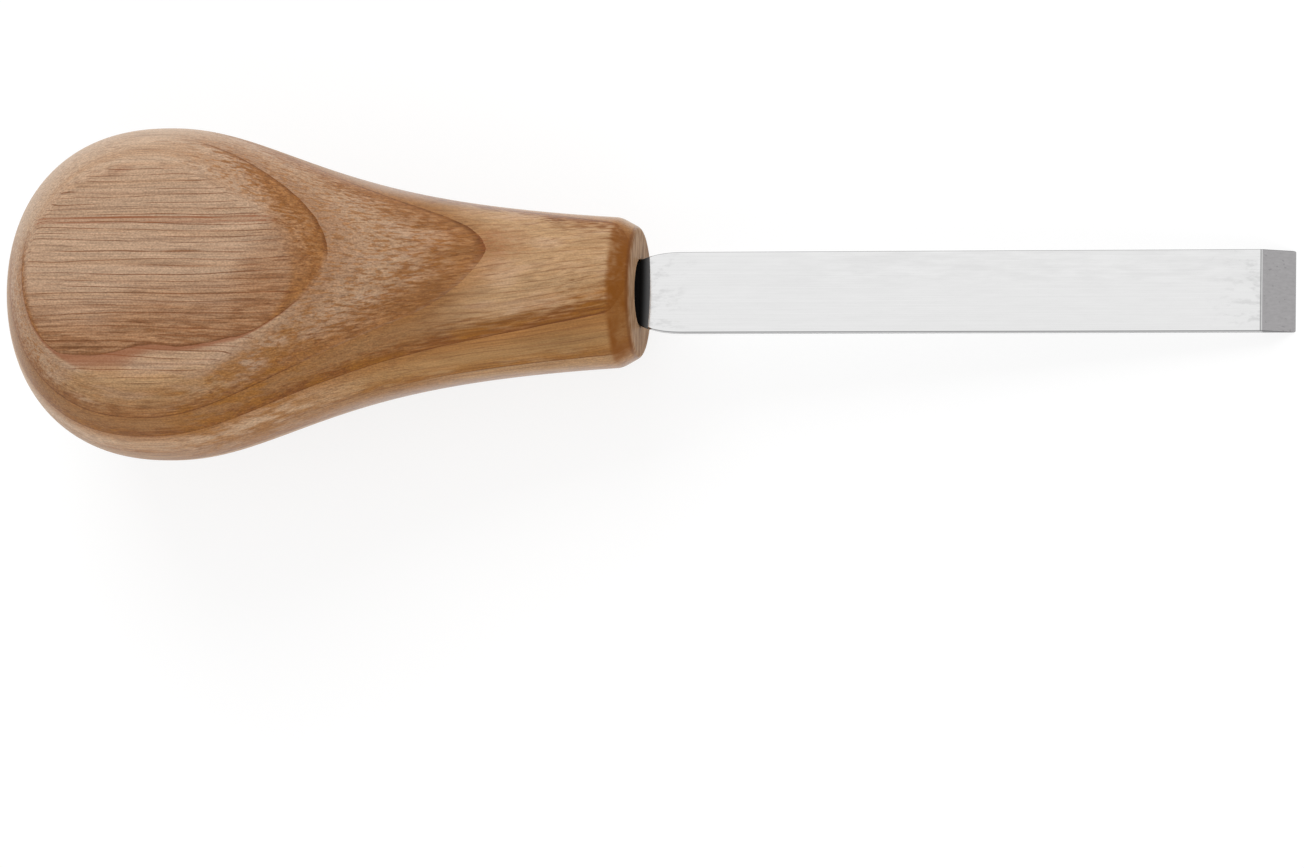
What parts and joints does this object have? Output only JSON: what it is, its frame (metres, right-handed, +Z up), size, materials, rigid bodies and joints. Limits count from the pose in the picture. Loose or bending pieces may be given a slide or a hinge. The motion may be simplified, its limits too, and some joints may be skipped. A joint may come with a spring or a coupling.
{
  "type": "palm chisel",
  "caption": "Palm chisel: pear-shaped ash handle with a flat above and below, and a flat steel blade with a single ground bevel, its tang set in black epoxy.",
  "frame": {"origin": "on the bench, under the middle of the tool's bounding box, as the tool lies at rest on the front edge of its lower flat and on its cutting edge", "axes": "+X from the butt towards the cutting edge, along the bench; +Y across the blade; +Z up, away from the bench, on the side of the bevel. The tool's own axis lies in the XZ plane and dips 6.887 degrees towards the cutting edge"},
  "size_m": [0.1592, 0.0416, 0.0357],
  "materials": {
    "ash_wood": "sanded ash with a thin satin oil finish",
    "tool_steel": "finely polished faces with faint lengthwise grinding lines, matt ground bevel",
    "black_epoxy": "cured black epoxy, smooth"
  },
  "bodies": {
    "root": {"handle": "ash_wood", "blade": "tool_steel", "tang_epoxy": "black_epoxy"}
  },
  "joints": []
}
